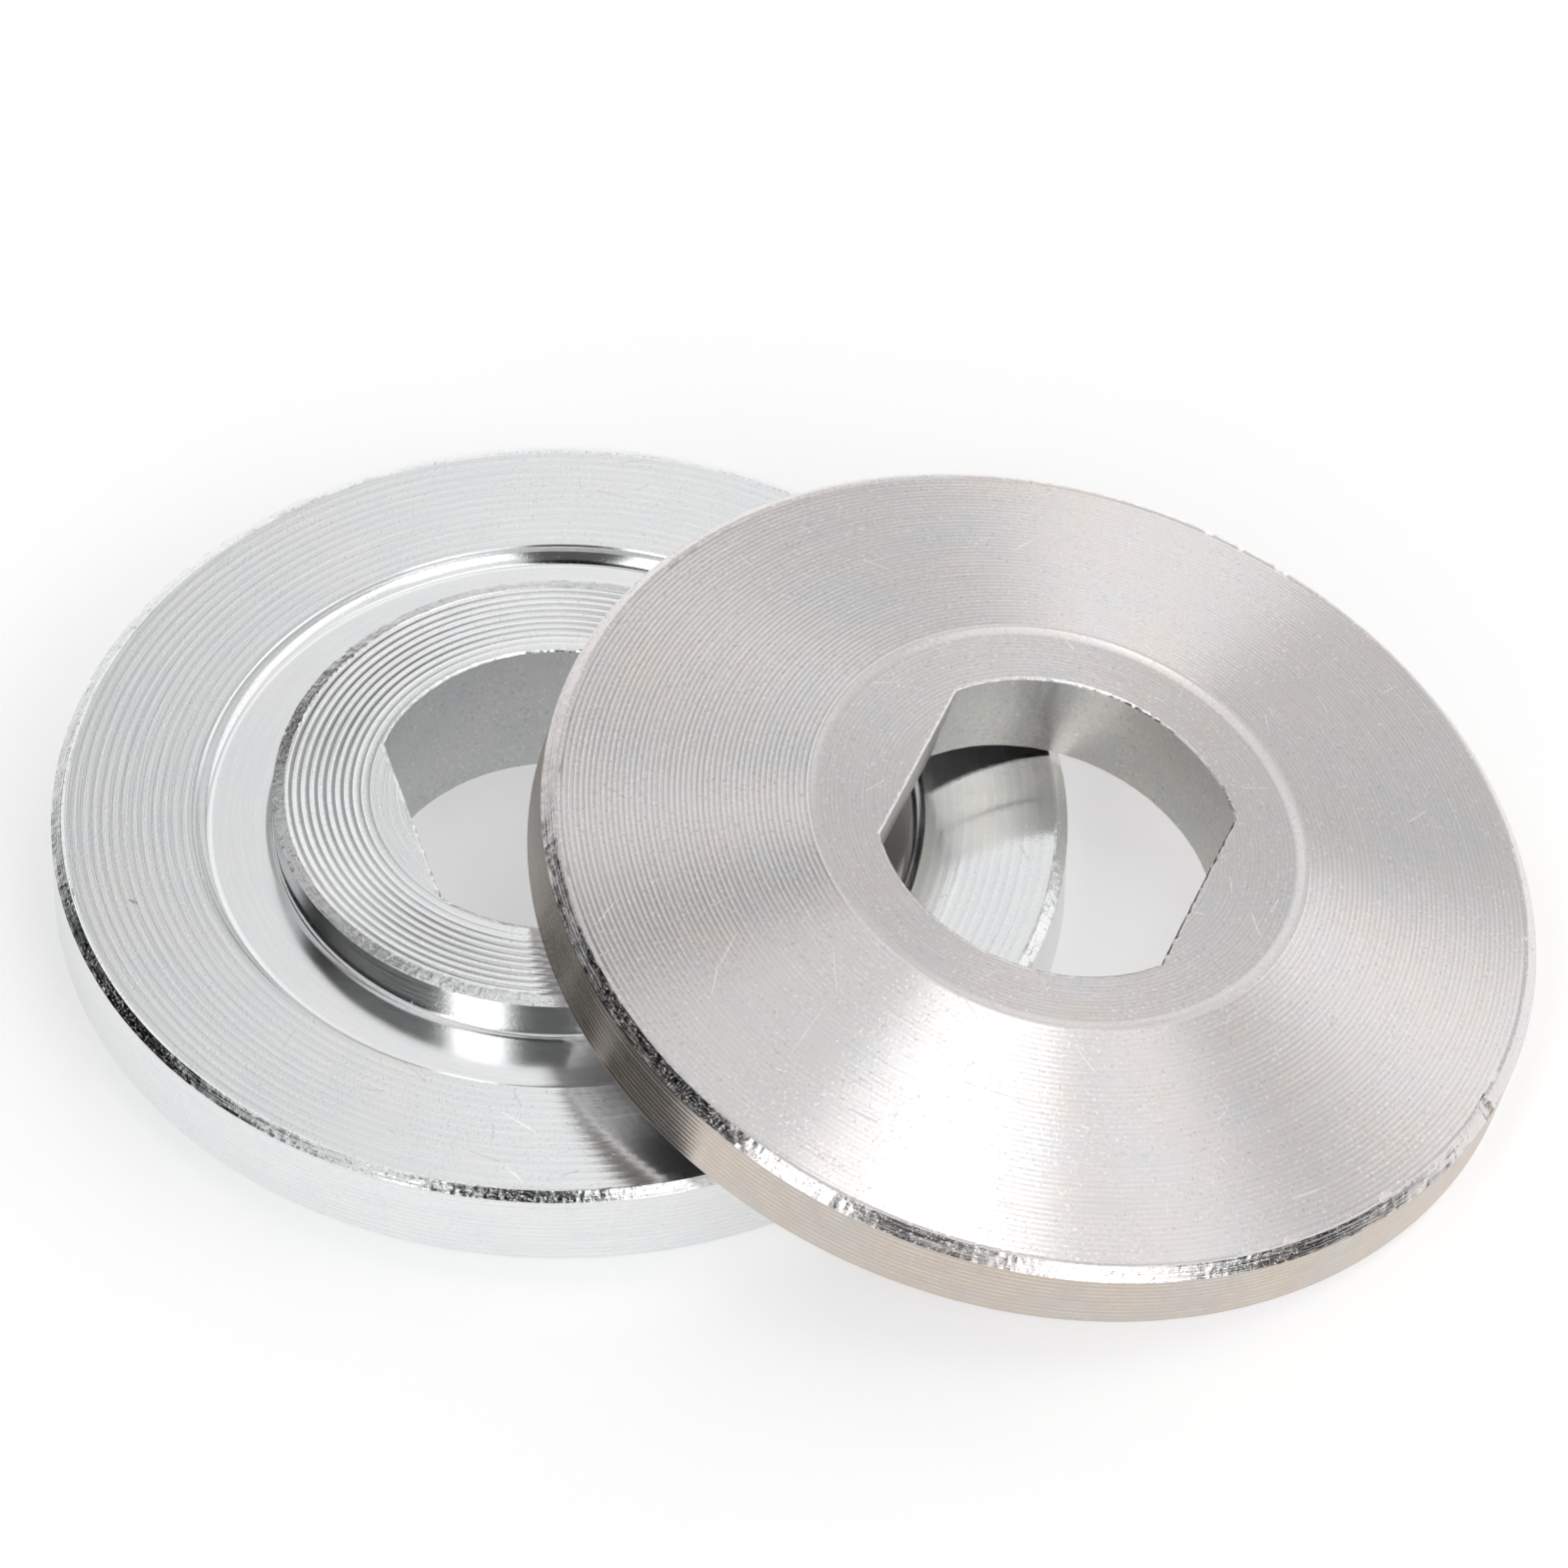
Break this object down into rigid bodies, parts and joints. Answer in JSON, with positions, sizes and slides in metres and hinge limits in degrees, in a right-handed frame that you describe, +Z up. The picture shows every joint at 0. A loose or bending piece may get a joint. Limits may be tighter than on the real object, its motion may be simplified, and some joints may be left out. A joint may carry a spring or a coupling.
{
  "type": "pair of saw blade clamp washers",
  "caption": "Turned steel inner and outer clamp washers for a circular saw blade, with double-D spindle bores, conical backs and a blade spigot on the inner one.",
  "frame": {"origin": "on the inner washer's axis, at its back land, which lies on the table", "axes": "+Z up, along the inner washer's axis towards its spigot; +X across the flats of the inner washer's bore; the outer washer lies towards +X and -Y"},
  "size_m": [0.0636, 0.0555, 0.0132],
  "materials": {
    "inner_steel": "turned steel with bright zinc plate, cool and light",
    "outer_steel": "turned steel with bright zinc plate, slightly warm, finely grooved"
  },
  "bodies": {
    "root": {"inner_washer": "inner_steel", "outer_washer": "outer_steel"}
  },
  "joints": []
}
